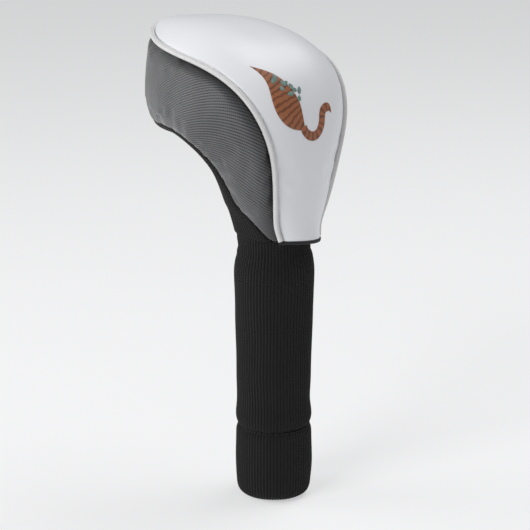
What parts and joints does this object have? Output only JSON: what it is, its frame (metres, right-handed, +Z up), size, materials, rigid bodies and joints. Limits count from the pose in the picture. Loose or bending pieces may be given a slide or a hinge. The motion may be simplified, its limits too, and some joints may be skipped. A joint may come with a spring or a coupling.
{
  "type": "golf driver head cover",
  "caption": "Padded golf driver head cover with a white teardrop top panel edged in piping, a dark woven side and a long ribbed knit sock with an elastic cuff.",
  "frame": {"origin": "centre of the sock's mouth, at the lowest point of the cuff", "axes": "+Z up the shaft towards the club head, -X towards the toe of the club, +X the side the white panel's back faces, XZ is the plane of symmetry"},
  "size_m": [0.1483, 0.1294, 0.3478],
  "materials": {
    "white_leather": "satin synthetic leather",
    "charcoal_nylon": "fine diagonal weave with a soft sheen",
    "black_knit": "ribbed knit, matte",
    "black_tape": "woven tape, matte",
    "grey_fleece": "brushed fleece",
    "padding_foam": "open-cell foam, matte",
    "cotton_cord": "twisted cord, matte",
    "black_thread": "polyester thread",
    "elastic": "covered elastic"
  },
  "bodies": {
    "head": {"top_panel": "white_leather", "top_panel_foam": "padding_foam", "top_panel_lining": "grey_fleece", "side_gusset": "charcoal_nylon", "side_gusset_foam": "padding_foam", "side_gusset_lining": "grey_fleece", "underside_knit": "black_knit", "underside_lining": "grey_fleece", "underside_seam_tape": "black_tape", "hem_binding": "black_tape", "piping_cord": "cotton_cord", "piping_cover": "white_leather", "neck_seam_stitches": "black_thread"},
    "neck": {"neck_elastic": "elastic"},
    "sock": {"knit_sock": "black_knit"},
    "cuff": {"sock_cuff": "black_knit", "cuff_hem": "black_knit", "cuff_elastic": "elastic", "cuff_seam_stitches": "black_thread"}
  },
  "joints": [
    {"name": "neck_side_bend", "type": "hinge", "parent": "head", "child": "neck", "pos_m": [0, 0, 0.183], "axis": [1, 0, 0], "range_deg": [-25, 25], "deforming": ["knit_sock", "neck_elastic"]},
    {"name": "sock_bend", "type": "hinge", "parent": "neck", "child": "sock", "pos_m": [0, 0, 0.148], "axis": [0, 1, 0], "range_deg": [-35, 35], "deforming": ["knit_sock"]},
    {"name": "cuff_slide", "type": "slide", "parent": "sock", "child": "cuff", "axis": [0, 0, 1], "range_m": [0, 0.05], "deforming": ["knit_sock"]}
  ]
}
